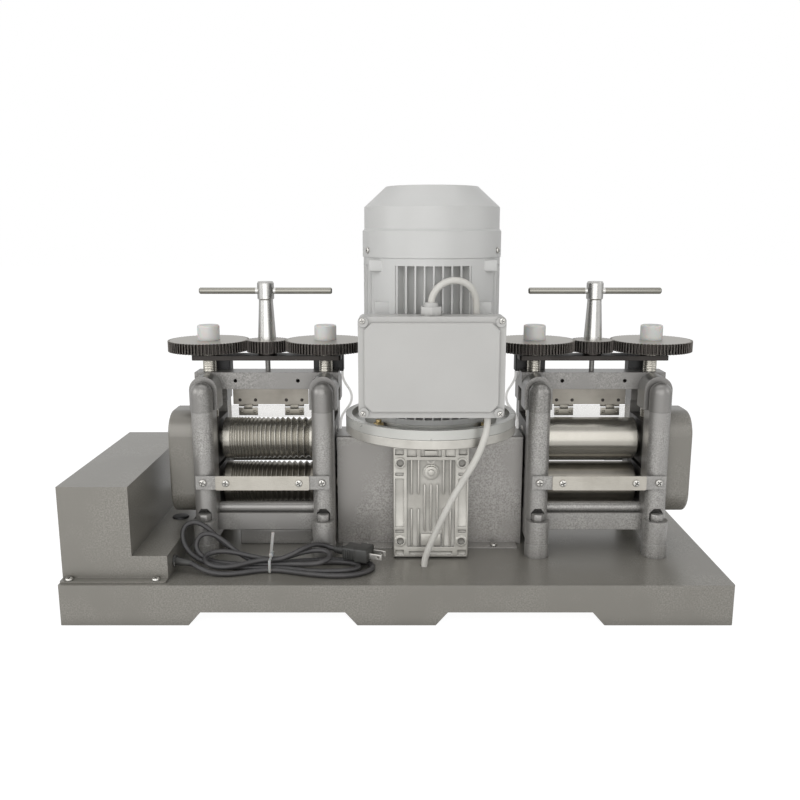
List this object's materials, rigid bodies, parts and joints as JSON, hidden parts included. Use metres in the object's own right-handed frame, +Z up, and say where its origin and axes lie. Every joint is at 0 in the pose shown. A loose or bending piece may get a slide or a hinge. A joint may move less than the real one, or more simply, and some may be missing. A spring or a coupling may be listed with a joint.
{
  "type": "jewellers rolling mill",
  "caption": "Electric double-head jewellers rolling mill: a vertical geared motor between a grooved-roll head and a smooth-roll head on a sheet-metal base.",
  "frame": {"origin": "centre of the base's footprint, on the bench", "axes": "+X to the right along the base, from the grooved head to the smooth head; +Y to the rear; +Z up"},
  "size_m": [0.728, 0.3, 0.4665],
  "materials": {
    "base_paint": "semi-gloss grey enamel",
    "frame_paint": "hammertone silver-grey paint",
    "motor_paint": "semi-gloss light grey enamel",
    "gearbox_alloy": "painted die casting, satin",
    "stator_steel": "laminated",
    "roll_steel": "ground and polished",
    "gear_steel": "blackened, oiled",
    "bright_steel": "bright zinc plated",
    "chock_bronze": "dull bronze",
    "wheel_bronze": "machined bronze",
    "chrome": "polished chrome",
    "white_plastic": "moulded, satin",
    "box_plastic": "moulded, satin",
    "fan_plastic": "moulded",
    "black_plastic": "moulded, fine texture",
    "cord_black": "matt sheath",
    "cord_grey": "matt sheath",
    "clear_plastic": "clear sheet, slightly yellowed",
    "tie_plastic": "moulded nylon"
  },
  "bodies": {
    "machine": {"base_pan": "base_paint", "cable_glands": "black_plastic", "control_box": "box_plastic", "control_box_lid": "box_plastic", "cord_tie": "tie_plastic", "coupling_covers": "base_paint", "fan_cowl": "motor_paint", "front_straps": "bright_steel", "gear_covers": "frame_paint", "gearbox_housing": "gearbox_alloy", "guard_plates": "bright_steel", "hexagon_bolts": "bright_steel", "input_flange": "gearbox_alloy", "left_crown": "frame_paint", "left_side_frames": "frame_paint", "lower_chocks": "chock_bronze", "mains_hank": "cord_black", "mains_lead": "cord_black", "mains_plug": "cord_black", "motor_flange": "motor_paint", "motor_housing": "motor_paint", "motor_lead": "cord_grey", "panel_screws": "bright_steel", "right_crown": "frame_paint", "right_side_frames": "frame_paint", "stator": "stator_steel", "step_cover": "base_paint", "strap_brackets": "frame_paint", "supply_lead": "cord_grey", "switch_blocks": "black_plastic", "switch_leads": "cord_grey", "tie_bars": "bright_steel"},
    "rotor": {"rotor_shaft": "gear_steel", "cooling_fan": "fan_plastic"},
    "drive": {"cross_shaft": "bright_steel", "worm_wheel": "wheel_bronze", "shaft_couplings": "bright_steel", "grooved_lower_roll": "roll_steel", "smooth_lower_roll": "roll_steel"},
    "left_carriage": {"left_upper_chocks": "chock_bronze", "left_gear_bar": "bright_steel"},
    "left_roll": {"grooved_upper_roll": "roll_steel"},
    "left_outer_spindle": {"left_outer_screw": "gear_steel", "left_outer_cap": "white_plastic"},
    "left_inner_spindle": {"left_inner_screw": "gear_steel", "left_inner_cap": "white_plastic"},
    "left_control": {"left_pinion": "gear_steel", "left_handle": "chrome"},
    "left_guard": {"left_guard_flap": "clear_plastic"},
    "right_carriage": {"right_upper_chocks": "chock_bronze", "right_gear_bar": "bright_steel"},
    "right_roll": {"smooth_upper_roll": "roll_steel"},
    "right_outer_spindle": {"right_outer_screw": "gear_steel", "right_outer_cap": "white_plastic"},
    "right_inner_spindle": {"right_inner_screw": "gear_steel", "right_inner_cap": "white_plastic"},
    "right_control": {"right_pinion": "gear_steel", "right_handle": "chrome"},
    "right_guard": {"right_guard_flap": "clear_plastic"}
  },
  "joints": [
    {"name": "rotor_spin", "type": "hinge", "parent": "machine", "child": "rotor", "pos_m": [0.039, -0.04, 0.2], "axis": [0, 0, 1], "continuous": true},
    {"name": "drive_spin", "type": "hinge", "parent": "machine", "child": "drive", "pos_m": [0.039, 0, 0.1175], "axis": [1, 0, 0], "continuous": true},
    {"name": "left_handle_turn", "type": "hinge", "parent": "left_carriage", "child": "left_control", "pos_m": [-0.1545, 0, 0.28], "axis": [0, 0, 1], "range_deg": [-541, 1765]},
    {"name": "left_carriage_slide", "type": "slide", "parent": "machine", "child": "left_carriage", "axis": [0, 0, 1], "range_m": [-0.0049, 0.0015]},
    {"name": "left_roll_spin", "type": "hinge", "parent": "left_carriage", "child": "left_roll", "pos_m": [-0.1545, 0, 0.1725], "axis": [1, 0, 0], "continuous": true},
    {"name": "left_outer_screw_turn", "type": "hinge", "parent": "left_carriage", "child": "left_outer_spindle", "pos_m": [-0.22387, 0, 0.25], "axis": [0, 0, 1], "range_deg": [-883, 271]},
    {"name": "left_inner_screw_turn", "type": "hinge", "parent": "left_carriage", "child": "left_inner_spindle", "pos_m": [-0.08513, 0, 0.25], "axis": [0, 0, 1], "range_deg": [-883, 271]},
    {"name": "left_guard_swing", "type": "hinge", "parent": "machine", "child": "left_guard", "pos_m": [-0.1545, 0.018, 0.2095], "axis": [1, 0, 0], "range_deg": [0, 85]},
    {"name": "right_handle_turn", "type": "hinge", "parent": "right_carriage", "child": "right_control", "pos_m": [0.2325, 0, 0.28], "axis": [0, 0, 1], "range_deg": [-541, 1765]},
    {"name": "right_carriage_slide", "type": "slide", "parent": "machine", "child": "right_carriage", "axis": [0, 0, 1], "range_m": [-0.0049, 0.0015]},
    {"name": "right_roll_spin", "type": "hinge", "parent": "right_carriage", "child": "right_roll", "pos_m": [0.2325, 0, 0.1725], "axis": [1, 0, 0], "continuous": true},
    {"name": "right_outer_screw_turn", "type": "hinge", "parent": "right_carriage", "child": "right_outer_spindle", "pos_m": [0.30188, 0, 0.25], "axis": [0, 0, 1], "range_deg": [-883, 271]},
    {"name": "right_inner_screw_turn", "type": "hinge", "parent": "right_carriage", "child": "right_inner_spindle", "pos_m": [0.16312, 0, 0.25], "axis": [0, 0, 1], "range_deg": [-883, 271]},
    {"name": "right_guard_swing", "type": "hinge", "parent": "machine", "child": "right_guard", "pos_m": [0.2325, 0.018, 0.2095], "axis": [1, 0, 0], "range_deg": [0, 85]}
  ],
  "couplings": [
    {"joint": "drive_spin", "follows": "rotor_spin", "ratio": 0.033333},
    {"joint": "left_handle_turn", "follows": "left_carriage_slide", "rad_per_m": -6283.2},
    {"joint": "left_outer_screw_turn", "follows": "left_carriage_slide", "rad_per_m": 3141.6},
    {"joint": "left_inner_screw_turn", "follows": "left_carriage_slide", "rad_per_m": 3141.6},
    {"joint": "left_roll_spin", "follows": "rotor_spin", "ratio": -0.033333},
    {"joint": "right_handle_turn", "follows": "right_carriage_slide", "rad_per_m": -6283.2},
    {"joint": "right_outer_screw_turn", "follows": "right_carriage_slide", "rad_per_m": 3141.6},
    {"joint": "right_inner_screw_turn", "follows": "right_carriage_slide", "rad_per_m": 3141.6},
    {"joint": "right_roll_spin", "follows": "rotor_spin", "ratio": -0.033333}
  ]
}
